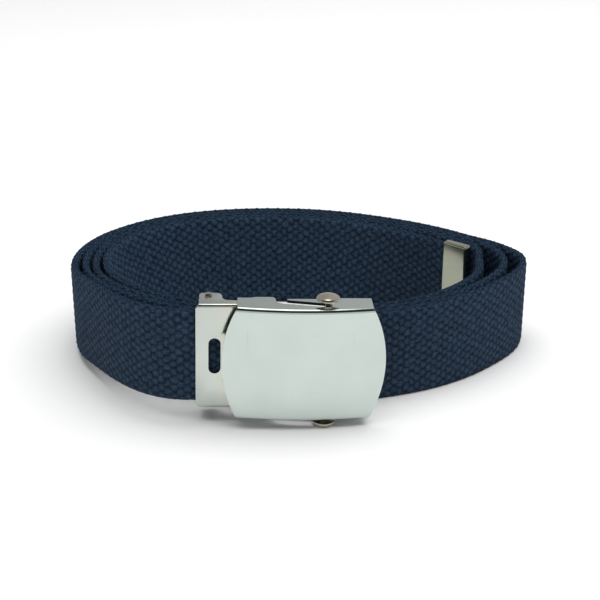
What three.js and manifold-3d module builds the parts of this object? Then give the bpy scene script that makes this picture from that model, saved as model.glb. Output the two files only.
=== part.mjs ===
// Web belt: a woven cotton strap coiled on its edge, with a roller buckle and a metal end cap.
// Units are mm, +Z is up, +X points to the coil's right end and -Y to the side with the buckle.
import * as THREE from 'three';
import { mergeVertices } from 'three/addons/utils/BufferGeometryUtils.js';
import Module from 'manifold-3d';

const wasm = await Module();
wasm.setup();

// Strap
const STRAP_WIDTH = 30;
const STRAP_THICK = 2.4;
const STRAP_EDGE = 0.45;
const LAYER_GAP = 0.25;

// Coil: the oval that the outermost layer's middle follows
const COIL_HALF_LENGTH = 75.4;
const COIL_HALF_DEPTH = 50.1;
const COIL_BACK_SHIFT = 7.5;
const JOIN_ANGLE = 60;
const LEAVE_ANGLE = 1275;
const ANGLE_STEP = 3.75;
const REST_ANGLE = 112;
const LEAN = 7.5;
const LEAN_NEAR = [14, 50];
const LEAN_FAR = [150, 230];

// Buckle
const SHEET = 0.85;
const FACE_OVER_STRAP = 3.2;
const FACE_HEIGHT = STRAP_WIDTH + 2 * FACE_OVER_STRAP;
const FACE_WIDTH = 48.6;
const FACE_SIDE_RADIUS = 39;
const FACE_BULGE = 2.6;
const FACE_FOLD = 1.6;
const FLANGE_DEPTH = 9.4;
const BUMP_RISE = 0.6;
const BUMP_FROM_MOUTH = 5;
const BUMP_LENGTH = 3.6;
const BUMP_SLOPE = 2.4;
const FACE_X = 2.2;
const FACE_FRONT_Y = -59.8;
const BUCKLE_ROLL = 1.7;
const BUCKLE_YAW = 3.2;
const PIECE_GAP = 0.3;

// Slots in the flanges, and the roller that slides in them
const SLOT_END_X = 6.5;
const SLOT_END_DEPTH = 3.8;
const SLOT_MOUTH_X = -5.4;
const SLOT_MOUTH_DEPTH = 6.2;
const STRIP_DEPTH = 8.5;
const NECK_RADIUS = 1.05;
const SLOT_HALF_WIDTH = NECK_RADIUS + PIECE_GAP;
const ROLLER_RADIUS = 2.4;
const KNOB_RADIUS = 3.5;
const KNOB_RISE = 3;
const ROLLER_LIFT = 0.5;

// Clamp frame at the buckle's left, with its jaw and pin
const FRAME_LEFT = 31.95;
const FRAME_RIGHT = 13;
const FRAME_DEPTH = 6.8;
const FRAME_HEIGHT = FACE_HEIGHT - 2 * SHEET - 2 * PIECE_GAP;
const FRAME_RIM = 2.4;
const FRAME_RIM_AT_TAB = 3.4;
const TAB_LENGTH = 6.8;
const TAB_DEPTH = 8.8;
const TAB_INSET = 1;
const HOLE_WIDTH = 3.6;
const HOLE_HEIGHT = 11.5;
const HOLE_FROM_LEFT = 5.6;
const HOLE_RISE = 0.4;
const PIN_RADIUS = 0.7;
const PIN_BACK = 6.9;
const PIN_DEPTH = FRAME_DEPTH + PIN_BACK;
const JAW_TAIL = 7.5;
const PIN_FROM_LEFT = 3.7;
const STRAP_DROP = 0.25;
const STRAP_END_FROM_LEFT = 17.35;

// End cap on the free end
const TIP_WALL = 0.45;
const TIP_PLAY = 0.15;
const TIP_LENGTH = 9.7;
const TIP_HEIGHT = STRAP_WIDTH + 0.4;
const TIP_THICK = STRAP_THICK + 2 * (TIP_WALL + TIP_PLAY);
const TIP_ROUND = 0.8;
const TIP_ANGLE = 962.45;
const TIP_CLEARANCE = 1.75;
const TIP_TURN = 1.9;

const PITCH = STRAP_THICK + LAYER_GAP;
const radians = THREE.MathUtils.degToRad;
const BUCKLE_TURN = new THREE.Euler(0, radians(BUCKLE_ROLL), radians(BUCKLE_YAW));
const KNOB_REACH = FACE_HEIGHT / 2 + KNOB_RISE;
const BUCKLE_PLACE = new THREE.Vector3(
  FACE_X,
  FACE_FRONT_Y,
  KNOB_REACH - ROLLER_LIFT + SLOT_END_X * Math.sin(BUCKLE_TURN.y),
);
const CLAMP_DEPTH = FRAME_DEPTH + SHEET + PIECE_GAP + STRAP_THICK / 2;
const CLAMP_STEPS = 4;
const CAP_STRAP_WIDTH = TIP_HEIGHT - 2 * (TIP_WALL + TIP_PLAY);
const CAP_STEPS = 3;
const TURNS = ['first', 'second', 'third', 'fourth'];

// How the coil lies. angle: degrees round from the front, clockwise from above. oval: share of
// the coil's oval. first to fourth: how far inside it each turn lies there, in layer pitches.
const LAY = [
  { angle: 0, oval: 0.99, first: -3.1, second: 0, third: 1, fourth: 2 },
  { angle: 30, oval: 0.985, first: -3.6, second: 0.3, third: 1.3, fourth: 2.3 },
  { angle: 60, oval: 0.998, first: -1.1, second: 1.25, third: 2.3, fourth: 3.35 },
  { angle: 90, oval: 0.988, first: 0, second: 1.1, third: 2.42, fourth: 3.62 },
  { angle: 120, oval: 1.01, first: 0, second: 1.05, third: 2.1, fourth: 3.15 },
  { angle: 150, oval: 1.04, first: 0, second: 1, third: 2, fourth: 3 },
  { angle: 180, oval: 0.985, first: 0, second: 1, third: 2, fourth: 3 },
  { angle: 210, oval: 0.898, first: 0, second: 1.02, third: 2.1, fourth: 3.15 },
  { angle: 240, oval: 0.895, first: 0, second: 1.1, third: 2.25, fourth: 3.4 },
  { angle: 255, oval: 0.96, first: 0, second: 1.3, third: 3.15, fourth: 4.4 },
  { angle: 270, oval: 1.012, first: 0, second: 2.4, third: 5.5, fourth: 6.6 },
  { angle: 300, oval: 0.96, first: 0, second: 1.5, third: 3.2, fourth: 4.8 },
  { angle: 330, oval: 0.972, first: 0, second: 1, third: 2, fourth: 3 },
];

// The value of a column at the angle, on the smooth curve through four rows around it.
function smooth([a, b, c, d], column, angle) {
  const span = c.angle - b.angle;
  const f = (angle - b.angle) / span;
  const gain = c[column] - b[column];
  const leave = ((c[column] - a[column]) / (c.angle - a.angle)) * span;
  const arrive = ((d[column] - b[column]) / (d.angle - b.angle)) * span;
  const bend = 3 * gain - 2 * leave - arrive;
  return b[column] + f * (leave + f * (bend + f * (leave + arrive - 2 * gain)));
}

function laid(angle) {
  const n = LAY.length;
  const turns = Math.floor(angle / 360);
  const k = turns * n + LAY.findLastIndex((row) => row.angle <= angle - 360 * turns);
  const rows = [k - 1, k, k + 1, k + 2].map((i) => {
    const turn = Math.floor(i / n);
    const row = LAY[i - turn * n];
    const inset = row[TURNS[Math.min(Math.max(turn, 0), TURNS.length - 1)]];
    return { angle: row.angle + 360 * turn, oval: row.oval, inset };
  });
  return { share: smooth(rows, 'oval', angle), inset: smooth(rows, 'inset', angle) * PITCH };
}

function coilPoint(angle) {
  const { share, inset } = laid(angle);
  const x = -(COIL_HALF_LENGTH * share - inset) * Math.sin(radians(angle));
  const y = COIL_BACK_SHIFT - (COIL_HALF_DEPTH * share - inset) * Math.cos(radians(angle));
  return new THREE.Vector3(x, y, 0);
}

function coilHeading(angle) {
  return coilPoint(angle + 0.5).sub(coilPoint(angle - 0.5)).normalize();
}

// Where the end cap's mouth is and which way the cap points: just inside the third turn.
function tipPlace() {
  const beside = coilHeading(TIP_ANGLE);
  const inward = new THREE.Vector3(beside.y, -beside.x, 0);
  const mouth = coilPoint(TIP_ANGLE)
    .addScaledVector(inward, (STRAP_THICK + TIP_THICK) / 2 + TIP_CLEARANCE);
  const turn = radians(TIP_TURN);
  return { mouth, heading: beside.applyAxisAngle(new THREE.Vector3(0, 0, 1), turn) };
}

// Points between two places, on a curve that leaves and arrives along the given headings.
function bendBetween(start, leaving, end, arriving, steps) {
  const reach = 0.36 * start.distanceTo(end);
  const bend = new THREE.CubicBezierCurve3(
    start,
    start.clone().addScaledVector(leaving, reach),
    end.clone().addScaledVector(arriving, -reach),
    end,
  );
  return bend.getSpacedPoints(steps).slice(1, -1);
}

// The strap's middle line in plan, from the end in the clamp to the end in the cap.
function strapLine() {
  const line = [];
  for (let i = 0; i <= CLAMP_STEPS; i += 1) {
    const x = STRAP_END_FROM_LEFT * (1 - i / CLAMP_STEPS) - FRAME_LEFT;
    const inBuckle = new THREE.Vector3(x, CLAMP_DEPTH, -STRAP_DROP - STRAP_WIDTH / 2);
    line.push(inBuckle.applyEuler(BUCKLE_TURN).add(BUCKLE_PLACE));
  }
  const clamped = line[CLAMP_STEPS];
  const out = clamped.clone().sub(line[0]).setZ(0).normalize();
  const join = coilPoint(JOIN_ANGLE).setZ(clamped.z);
  line.push(...bendBetween(clamped, out, join, coilHeading(JOIN_ANGLE), 14));
  const steps = Math.round((LEAVE_ANGLE - JOIN_ANGLE) / ANGLE_STEP);
  for (let i = 0; i <= steps; i += 1) {
    line.push(coilPoint(JOIN_ANGLE + ((LEAVE_ANGLE - JOIN_ANGLE) * i) / steps));
  }
  const { mouth, heading } = tipPlace();
  const last = line[line.length - 1];
  line.push(...bendBetween(last, coilHeading(LEAVE_ANGLE), mouth, heading, 10));
  const inside = TIP_LENGTH - TIP_WALL - TIP_PLAY;
  for (let i = 0; i <= CAP_STEPS; i += 1) {
    line.push(mouth.clone().addScaledVector(heading, (inside * i) / CAP_STEPS));
  }
  return line;
}

// The strap stands on its lower edge, but the buckle holds its first end up and in line with
// itself, the cap narrows its last end, and the loose last turn's lower edge leans inward.
function standing(line) {
  const left = line.map(() => 0);
  for (let i = line.length - 2; i >= 0; i -= 1) {
    left[i] = left[i + 1] + line[i].distanceTo(line[i + 1]);
  }
  const clampRise = line[CLAMP_STEPS].z;
  const down = line.findIndex((p) => p.y > coilPoint(REST_ANGLE).y);
  return line.map((p, i) => {
    const held = 1 - THREE.MathUtils.smoothstep(i, CLAMP_STEPS, down);
    const inCap = i >= line.length - CAP_STEPS - 1;
    let rise = i < CLAMP_STEPS ? p.z : clampRise * held;
    if (inCap) {
      rise = TIP_WALL + TIP_PLAY;
    }
    const lean = LEAN * THREE.MathUtils.smoothstep(left[i], ...LEAN_NEAR)
      * (1 - THREE.MathUtils.smoothstep(left[i], ...LEAN_FAR));
    return { x: p.x, y: p.y, z: rise, lean, width: inCap ? CAP_STRAP_WIDTH : STRAP_WIDTH };
  });
}

function bandGeometry(line, section) {
  const positions = [];
  const index = [];
  const n = section.length;
  line.forEach((p, i) => {
    const a = line[Math.max(i - 1, 0)];
    const b = line[Math.min(i + 1, line.length - 1)];
    const side = new THREE.Vector3(b.y - a.y, a.x - b.x, 0).normalize();
    section.forEach(([across, up]) => {
      const z = p.z + (up * p.width) / STRAP_WIDTH;
      const out = across + p.lean * (1 - up / STRAP_WIDTH);
      positions.push(p.x + side.x * out, p.y + side.y * out, z);
    });
    if (i > 0) {
      for (let j = 0; j < n; j += 1) {
        const k = (j + 1) % n;
        const back = (i - 1) * n;
        const here = i * n;
        index.push(back + j, here + k, here + j, back + j, back + k, here + k);
      }
    }
  });
  const end = (line.length - 1) * n;
  for (let j = 1; j < n - 1; j += 1) {
    index.push(0, j + 1, j, end, end + j, end + j + 1);
  }
  const geometry = new THREE.BufferGeometry();
  geometry.setAttribute('position', new THREE.Float32BufferAttribute(positions, 3));
  geometry.setIndex(index);
  return geometry;
}

function toSolid(geometry) {
  const bare = geometry.clone();
  bare.deleteAttribute('normal');
  bare.deleteAttribute('uv');
  const joined = mergeVertices(bare, 1e-4);
  return new wasm.Manifold(new wasm.Mesh({
    numProp: 3,
    vertProperties: new Float32Array(joined.attributes.position.array),
    triVerts: new Uint32Array(joined.index.array),
  }));
}

function toGeometry(solid) {
  const mesh = solid.getMesh();
  const geometry = new THREE.BufferGeometry();
  geometry.setAttribute('position', new THREE.BufferAttribute(mesh.vertProperties, 3));
  geometry.setIndex(new THREE.BufferAttribute(mesh.triVerts, 1));
  geometry.computeVertexNormals();
  return geometry;
}

// A plate with the given outline in plan, from z low to z high.
function flatSolid(shape, low, high, segments = 10) {
  const geometry = new THREE.ExtrudeGeometry(shape, {
    depth: high - low,
    bevelEnabled: false,
    curveSegments: segments,
  });
  geometry.translate(0, 0, low);
  return toSolid(geometry);
}

// A plate with the given outline in front view (x across, z up), from y near to y far.
function frontSolid(shape, near, far, segments = 10) {
  const geometry = new THREE.ExtrudeGeometry(shape, {
    depth: far - near,
    bevelEnabled: false,
    curveSegments: segments,
  });
  geometry.rotateX(Math.PI / 2);
  geometry.translate(0, far, 0);
  return toSolid(geometry);
}

function boxSolid(low, high) {
  const size = high.map((v, i) => v - low[i]);
  const geometry = new THREE.BoxGeometry(...size);
  geometry.translate(...low.map((v, i) => v + size[i] / 2));
  return toSolid(geometry);
}

function rodSolid(radius, low, high, x, y) {
  const geometry = new THREE.CylinderGeometry(radius, radius, high - low, 24);
  geometry.rotateX(Math.PI / 2);
  geometry.translate(x, y, (low + high) / 2);
  return toSolid(geometry);
}

// Cross-section of folded sheet: a front wall with a wall going back at top and bottom.
function channelShape(height, back, thick, fold) {
  const h = height / 2;
  const inner = fold - thick;
  const shape = new THREE.Shape();
  shape.moveTo(back, h);
  shape.lineTo(fold, h);
  shape.absarc(fold, h - fold, fold, Math.PI / 2, Math.PI, false);
  shape.lineTo(0, -h + fold);
  shape.absarc(fold, -h + fold, fold, Math.PI, 1.5 * Math.PI, false);
  shape.lineTo(back, -h);
  shape.lineTo(back, -h + thick);
  shape.lineTo(fold, -h + thick);
  shape.absarc(fold, -h + fold, inner, 1.5 * Math.PI, Math.PI, true);
  shape.lineTo(thick, h - fold);
  shape.absarc(fold, h - fold, inner, Math.PI, Math.PI / 2, true);
  shape.lineTo(back, h - thick);
  shape.closePath();
  return shape;
}

// The section run along x from left to right, with its middle pushed forward by the bulge.
function channelSolid(shape, left, right, bulge, steps) {
  const geometry = new THREE.ExtrudeGeometry(shape, {
    depth: right - left,
    steps,
    bevelEnabled: false,
    curveSegments: 6,
  });
  const p = geometry.attributes.position;
  for (let i = 0; i < p.count; i += 1) {
    const x = left + p.getZ(i);
    const sag = bulge * (x / (FACE_WIDTH / 2)) ** 2;
    p.setXYZ(i, x, p.getX(i) + sag, p.getY(i));
  }
  return toSolid(geometry);
}

// Flange outline in plan: straight back edge, a step beside the slot's mouth, and the slot.
function flangeOutline() {
  const half = FACE_WIDTH / 2 + 1;
  const r = SLOT_HALF_WIDTH;
  const run = new THREE.Vector2(SLOT_MOUTH_X - SLOT_END_X, SLOT_MOUTH_DEPTH - SLOT_END_DEPTH);
  const side = new THREE.Vector2(-run.y, run.x).normalize().multiplyScalar(r);
  const tilt = Math.atan2(side.y, side.x);
  const rearX = SLOT_MOUTH_X - side.x;
  const rearY = SLOT_MOUTH_DEPTH - side.y;
  const step = FLANGE_DEPTH + BUMP_RISE;
  const near = SLOT_MOUTH_X - BUMP_FROM_MOUTH;
  const far = near - BUMP_LENGTH;
  const shape = new THREE.Shape();
  shape.moveTo(-half, -1);
  shape.lineTo(half, -1);
  shape.lineTo(half, FLANGE_DEPTH);
  shape.lineTo(SLOT_END_X + 2.4, FLANGE_DEPTH);
  shape.lineTo(SLOT_END_X + 1.2, STRIP_DEPTH);
  shape.lineTo(rearX + 0.9, STRIP_DEPTH);
  shape.quadraticCurveTo(rearX - 0.3, STRIP_DEPTH, rearX, rearY);
  shape.lineTo(SLOT_END_X - side.x, SLOT_END_DEPTH - side.y);
  shape.absarc(SLOT_END_X, SLOT_END_DEPTH, r, tilt + Math.PI, tilt, true);
  shape.lineTo(SLOT_MOUTH_X + side.x, SLOT_MOUTH_DEPTH + side.y);
  shape.bezierCurveTo(near + 1.8, SLOT_MOUTH_DEPTH - r + 0.4, near + 2, step, near, step);
  shape.lineTo(far, step);
  shape.quadraticCurveTo(far - 0.6 * BUMP_SLOPE, step, far - BUMP_SLOPE, FLANGE_DEPTH);
  shape.lineTo(-half, FLANGE_DEPTH);
  shape.closePath();
  return shape;
}

// Face outline in front view: straight top and bottom, sides bowed outward.
function barrelOutline() {
  const h = FACE_HEIGHT / 2 + 1;
  const bow = Math.asin(h / FACE_SIDE_RADIUS);
  const centre = FACE_WIDTH / 2 - FACE_SIDE_RADIUS;
  const shape = new THREE.Shape();
  shape.absarc(centre, 0, FACE_SIDE_RADIUS, -bow, bow, false);
  shape.absarc(-centre, 0, FACE_SIDE_RADIUS, Math.PI - bow, Math.PI + bow, false);
  shape.closePath();
  return shape;
}

function faceSolid() {
  const half = FACE_WIDTH / 2 + 1;
  const section = channelShape(FACE_HEIGHT, FLANGE_DEPTH + 2, SHEET, FACE_FOLD);
  const channel = channelSolid(section, -half, half, FACE_BULGE, 24);
  const plan = flatSolid(flangeOutline(), -FACE_HEIGHT, FACE_HEIGHT);
  const front = frontSolid(barrelOutline(), -2, FLANGE_DEPTH + 4, 20);
  return channel.intersect(plan).intersect(front);
}

function roundedShape(left, low, right, high, r) {
  const shape = new THREE.Shape();
  shape.moveTo(left + r, low);
  shape.lineTo(right - r, low);
  shape.absarc(right - r, low + r, r, -Math.PI / 2, 0, false);
  shape.lineTo(right, high - r);
  shape.absarc(right - r, high - r, r, 0, Math.PI / 2, false);
  shape.lineTo(left + r, high);
  shape.absarc(left + r, high - r, r, Math.PI / 2, Math.PI, false);
  shape.lineTo(left, low + r);
  shape.absarc(left + r, low + r, r, Math.PI, 1.5 * Math.PI, false);
  shape.closePath();
  return shape;
}

// The plate behind the face's left side, with low rims, two rounded tabs and the oblong hole.
function frameSolid() {
  const h = FRAME_HEIGHT / 2;
  const left = -FRAME_LEFT;
  const tabEnd = left + TAB_INSET + TAB_LENGTH;
  const section = channelShape(FRAME_HEIGHT, TAB_DEPTH, SHEET, SHEET + 0.3);
  const channel = channelSolid(section, left, -FRAME_RIGHT, 0, 1);
  const keep = new THREE.Shape();
  const tabLeft = left + TAB_INSET;
  keep.moveTo(left - 1, -1);
  keep.lineTo(1 - FRAME_RIGHT, -1);
  keep.lineTo(1 - FRAME_RIGHT, FRAME_RIM);
  keep.lineTo(tabEnd + 1.8, FRAME_RIM_AT_TAB);
  keep.quadraticCurveTo(tabEnd, FRAME_RIM_AT_TAB + 0.2, tabEnd, TAB_DEPTH - 3);
  keep.quadraticCurveTo(tabEnd, TAB_DEPTH, tabEnd - 2.2, TAB_DEPTH);
  keep.lineTo(tabLeft + 1.6, TAB_DEPTH);
  keep.quadraticCurveTo(tabLeft, TAB_DEPTH, tabLeft, TAB_DEPTH - 2);
  keep.lineTo(tabLeft, SHEET + 0.3);
  keep.lineTo(left - 1, SHEET + 0.3);
  keep.closePath();
  const corner = new THREE.Shape();
  corner.moveTo(left, -h + 1.5);
  corner.lineTo(left + 1.1, -h - 0.1);
  corner.lineTo(-FRAME_RIGHT + 1, -h - 0.1);
  corner.lineTo(-FRAME_RIGHT + 1, h + 0.1);
  corner.lineTo(left + 1.1, h + 0.1);
  corner.lineTo(left, h - 1.5);
  corner.closePath();
  const hx = left + HOLE_FROM_LEFT;
  const hole = roundedShape(
    hx - HOLE_WIDTH / 2, HOLE_RISE - HOLE_HEIGHT / 2,
    hx + HOLE_WIDTH / 2, HOLE_RISE + HOLE_HEIGHT / 2,
    HOLE_WIDTH / 2,
  );
  const pinHole = rodSolid(
    PIN_RADIUS + PIECE_GAP / 2, -h - 1, h + 1, left + PIN_FROM_LEFT, PIN_DEPTH - FRAME_DEPTH,
  );
  return channel
    .intersect(flatSolid(keep, -h - 1, h + 1))
    .intersect(frontSolid(corner, -1, TAB_DEPTH + 1))
    .subtract(frontSolid(hole, -1, SHEET + 1))
    .subtract(pinHole);
}

// The jaw turns on the pin: a boss, a row of teeth against the strap and a flat tail.
function jawSolid() {
  const half = FRAME_HEIGHT / 2 - SHEET - PIECE_GAP;
  const y = PIN_DEPTH - FRAME_DEPTH;
  const teethFront = SHEET + PIECE_GAP + STRAP_THICK + PIECE_GAP;
  const teeth = 4;
  const width = 1.5;
  const shape = new THREE.Shape();
  const right = (teeth * width) / 2;
  shape.moveTo(-right, y - 0.6);
  for (let i = 0; i < teeth; i += 1) {
    shape.lineTo(-right + width * i + 0.4, teethFront);
    shape.lineTo(-right + width * (i + 1), teethFront + 0.8);
  }
  shape.lineTo(right + JAW_TAIL, teethFront + 0.9);
  shape.lineTo(right + JAW_TAIL, teethFront + 0.9 + SHEET);
  shape.lineTo(right + 1, teethFront + 0.9 + SHEET);
  shape.lineTo(1.2, y + 1.2);
  shape.quadraticCurveTo(0, y + 1.9, -1.4, y + 1.1);
  shape.closePath();
  const bore = rodSolid(PIN_RADIUS + PIECE_GAP / 2, -half - 1, half + 1, 0, y);
  return flatSolid(shape, -half, half, 6).subtract(bore);
}

function pinGeometry() {
  const h = FRAME_HEIGHT / 2;
  const head = 0.45;
  const r = PIN_RADIUS;
  const profile = [
    [0, -h - PIECE_GAP - head],
    [r * 0.9, -h - PIECE_GAP - head],
    [r * 1.5, -h - PIECE_GAP - head / 2],
    [r * 1.5, -h - PIECE_GAP / 2],
    [r, -h - PIECE_GAP / 2],
    [r, h + PIECE_GAP / 2],
    [r * 1.5, h + PIECE_GAP / 2],
    [r * 1.5, h + PIECE_GAP + head / 2],
    [r * 0.9, h + PIECE_GAP + head],
    [0, h + PIECE_GAP + head],
  ];
  return new THREE.LatheGeometry(profile.map(([a, b]) => new THREE.Vector2(a, b)), 20)
    .rotateX(Math.PI / 2);
}

// Rod between the flanges, a neck through each slot and a domed knob outside.
function rollerGeometry() {
  const inside = FACE_HEIGHT / 2 - SHEET - PIECE_GAP - ROLLER_LIFT;
  const top = KNOB_REACH;
  const outside = FACE_HEIGHT / 2;
  const half = [
    [ROLLER_RADIUS, inside - 0.7],
    [ROLLER_RADIUS - 0.4, inside - 0.3],
    [NECK_RADIUS, inside - 0.3],
    [NECK_RADIUS, outside + 0.9],
    [NECK_RADIUS * 1.5, outside + 1.5],
    [KNOB_RADIUS * 0.86, top - 1.62],
    [KNOB_RADIUS, top - 1.4],
    [KNOB_RADIUS, top - 1.15],
    [KNOB_RADIUS * 0.85, top - 0.55],
    [KNOB_RADIUS * 0.6, top - 0.2],
    [KNOB_RADIUS * 0.3, top - 0.04],
    [0, top],
  ];
  const lower = half.map(([a, b]) => [a, -b]).reverse();
  const profile = [...lower, ...half];
  return new THREE.LatheGeometry(profile.map(([a, b]) => new THREE.Vector2(a, b)), 28)
    .rotateX(Math.PI / 2);
}

// A box with a rounded outer end, open towards the strap.
function tipSolid() {
  const t = TIP_THICK / 2 - TIP_ROUND;
  const shape = new THREE.Shape();
  shape.moveTo(TIP_ROUND, -t);
  shape.lineTo(TIP_LENGTH - TIP_ROUND - 1, -t);
  shape.quadraticCurveTo(TIP_LENGTH - TIP_ROUND, -t, TIP_LENGTH - TIP_ROUND, 0);
  shape.quadraticCurveTo(TIP_LENGTH - TIP_ROUND, t, TIP_LENGTH - TIP_ROUND - 1, t);
  shape.lineTo(TIP_ROUND, t);
  shape.closePath();
  const outer = new THREE.ExtrudeGeometry(shape, {
    depth: TIP_HEIGHT - 2 * TIP_ROUND,
    bevelEnabled: true,
    bevelThickness: TIP_ROUND,
    bevelSize: TIP_ROUND,
    bevelSegments: 4,
    curveSegments: 6,
  });
  outer.translate(0, 0, TIP_ROUND);
  const y = STRAP_THICK / 2 + TIP_PLAY;
  const cavity = boxSolid(
    [-1, -y, TIP_WALL],
    [TIP_LENGTH - TIP_WALL, y, TIP_HEIGHT - TIP_WALL],
  );
  return toSolid(outer).subtract(cavity);
}

function named(name, geometry, color, roughness, metalness) {
  const material = new THREE.MeshStandardMaterial({ color, roughness, metalness });
  material.name = name;
  const mesh = new THREE.Mesh(geometry, material);
  mesh.name = name;
  return mesh;
}

const belt = new THREE.Group();
belt.name = 'web_belt';

const e = STRAP_EDGE;
const t = STRAP_THICK / 2;
const strapSection = [
  [-t, e], [-t, STRAP_WIDTH - e], [-t + e, STRAP_WIDTH], [t - e, STRAP_WIDTH],
  [t, STRAP_WIDTH - e], [t, e], [t - e, 0], [-t + e, 0],
];
const line = standing(strapLine());
belt.add(named('strap', bandGeometry(line, strapSection), 0x2b3a50, 0.95, 0));

const buckle = new THREE.Group();
buckle.name = 'buckle';
buckle.position.copy(BUCKLE_PLACE);
buckle.rotation.copy(BUCKLE_TURN);
belt.add(buckle);

buckle.add(named('buckle_face', toGeometry(faceSolid()), 0xcfd8d2, 0.16, 1));

const frame = named('clamp_frame', toGeometry(frameSolid()), 0xc9d0c8, 0.2, 1);
frame.position.set(0, FRAME_DEPTH, 0);
buckle.add(frame);

const jaw = named('clamp_jaw', toGeometry(jawSolid()), 0xa9a79c, 0.3, 1);
jaw.position.set(PIN_FROM_LEFT - FRAME_LEFT, FRAME_DEPTH, 0);
buckle.add(jaw);

const pin = named('jaw_pin', pinGeometry(), 0x9f9c92, 0.35, 1);
pin.position.set(PIN_FROM_LEFT - FRAME_LEFT, PIN_DEPTH, 0);
buckle.add(pin);

const roller = named('roller', rollerGeometry(), 0xa6a197, 0.25, 1);
roller.position.set(SLOT_END_X, SLOT_END_DEPTH, ROLLER_LIFT);
buckle.add(roller);

const { mouth, heading } = tipPlace();
const tip = named('belt_tip', toGeometry(tipSolid()), 0xb9bcae, 0.2, 1);
tip.position.copy(mouth);
tip.rotation.z = Math.atan2(heading.y, heading.x);
belt.add(tip);

// The origin is the middle of the belt's base.
belt.updateMatrixWorld(true);
const bounds = new THREE.Box3().setFromObject(belt, true);
belt.position.set(
  -(bounds.min.x + bounds.max.x) / 2,
  -(bounds.min.y + bounds.max.y) / 2,
  -bounds.min.z,
);

export default belt;
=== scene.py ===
import math

import bmesh
import bpy
from bpy.props import FloatProperty, FloatVectorProperty, PointerProperty
from mathutils import Matrix, Vector


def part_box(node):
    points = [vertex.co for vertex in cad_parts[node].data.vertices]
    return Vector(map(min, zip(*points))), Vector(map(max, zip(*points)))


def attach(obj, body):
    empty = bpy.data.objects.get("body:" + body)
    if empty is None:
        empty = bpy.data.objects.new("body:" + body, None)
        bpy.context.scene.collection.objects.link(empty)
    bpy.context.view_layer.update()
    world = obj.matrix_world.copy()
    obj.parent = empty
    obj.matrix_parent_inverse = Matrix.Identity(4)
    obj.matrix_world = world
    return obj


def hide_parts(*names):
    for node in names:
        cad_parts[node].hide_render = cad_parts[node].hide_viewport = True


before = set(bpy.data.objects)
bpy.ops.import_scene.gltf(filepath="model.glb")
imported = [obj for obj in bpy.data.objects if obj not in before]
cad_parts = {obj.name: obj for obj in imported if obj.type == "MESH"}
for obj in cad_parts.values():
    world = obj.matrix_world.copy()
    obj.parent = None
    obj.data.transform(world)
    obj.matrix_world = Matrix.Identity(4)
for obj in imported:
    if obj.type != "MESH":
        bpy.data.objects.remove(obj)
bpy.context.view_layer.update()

bl_info = {
    "name": "Web Belt",
    "version": (1, 0, 0),
    "blender": (4, 5, 0),
    "location": "View3D > Sidebar > Web Belt",
    "description": "Coiled cotton web belt with a metal roller buckle and an end cap",
    "category": "Add Mesh",
}

# Pieces are modelled in millimetres, then brought to metres and to their place.
MM = 0.001

# Play between pieces that don't move against each other
PIECE_GAP = 0.3

# The buckle's own frame in the row frame: x across its face, y back from it, z up.
BUCKLE_PLACE = (0.001311, -0.059071, 0.020893)
BUCKLE_ROLL = math.radians(1.7)
BUCKLE_YAW = math.radians(3.2)
BUCKLE = (
    Matrix.Translation(BUCKLE_PLACE)
    @ Matrix.Rotation(BUCKLE_ROLL, 4, 'Y')
    @ Matrix.Rotation(BUCKLE_YAW, 4, 'Z')
    @ Matrix.Scale(MM, 4)
)

# Face shell
SHEET = 0.85
FACE_HEIGHT = 36.4
FACE_WIDTH = 48.6
FACE_SIDE_RADIUS = 39
FACE_BULGE = 2.6
FACE_FOLD = 1.6
FLANGE_DEPTH = 9.4
BUMP_RISE = 0.6
BUMP_LEFT = -16.4
BUMP_TOP_LEFT = -14.0
BUMP_TOP_RIGHT = -10.4
SLOT_END = (6.5, 3.8)
SLOT_MOUTH = (-5.4, 6.2)
SLOT_HALF_WIDTH = 1.35
STRIP_DEPTH = 8.5

# Roller
ROLLER_RADIUS = 2.4
NECK_RADIUS = 1.05
KNOB_RADIUS = 3.5
KNOB_TOP = 21.2
ROLLER_LIFT = 0.5
ROD_HALF = 16.55

# Clamp frame, jaw and pin, behind the face's left side
FRAME_FRONT = 6.8
FRAME_LEFT = -31.95
FRAME_RIGHT = -13.0
FRAME_HEIGHT = 34.1
FRAME_FOLD = 1.15
RIM_DEPTH = 2.4
RIM_DEPTH_AT_TAB = 3.4
TAB_DEPTH = 8.8
TAB_LEFT = -30.95
TAB_RIGHT = -24.15
HOLE_X = -26.35
HOLE_WIDTH = 3.6
HOLE_HEIGHT = 11.5
HOLE_RISE = 0.4
PIN_X = -28.25
PIN_DEPTH = 13.7
PIN_RADIUS = 0.7
PIN_PLAY = 0.15
PIN_HEAD = 1.5 * PIN_RADIUS
CORNER_WIDTH = 1.1
CORNER_HEIGHT = 1.5
JAW_TEETH = 4
TOOTH_PITCH = 1.5
TOOTH_HEIGHT = 0.8
JAW_RIGHT = 10.5

# End cap
TIP_WALL = 0.45
TIP_LENGTH = 9.7
TIP_THICK = 3.6
TIP_HEIGHT = 30.4

# Strap and its weave
STRAP_WIDTH = 30.0
STRAP_THICK = 2.4
SHORTEST_STRAP = 1000.0
WARP_PERIOD = 3.9
ROW_PERIOD = 2.7
LUMP_EDGE = 2.0
ROWS = 22
STEPS_PER_PERIOD = 4

# The woven edge: points from one face to the other, as a share of half the thickness, with
# how far each stands above the strap's width
EDGE_ACROSS = (0.42, 0.0, -0.42)
EDGE_RISE = (0.1, 0.25, 0.1)
EDGE_POINTS = len(EDGE_ACROSS)
EDGE_ROW_INSET = 0.35
EDGE_ROW_FALL = 0.225

# The loose last turn leans this many times as far as the CAD strap's
LOOSE_LEAN = 1.38

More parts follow.
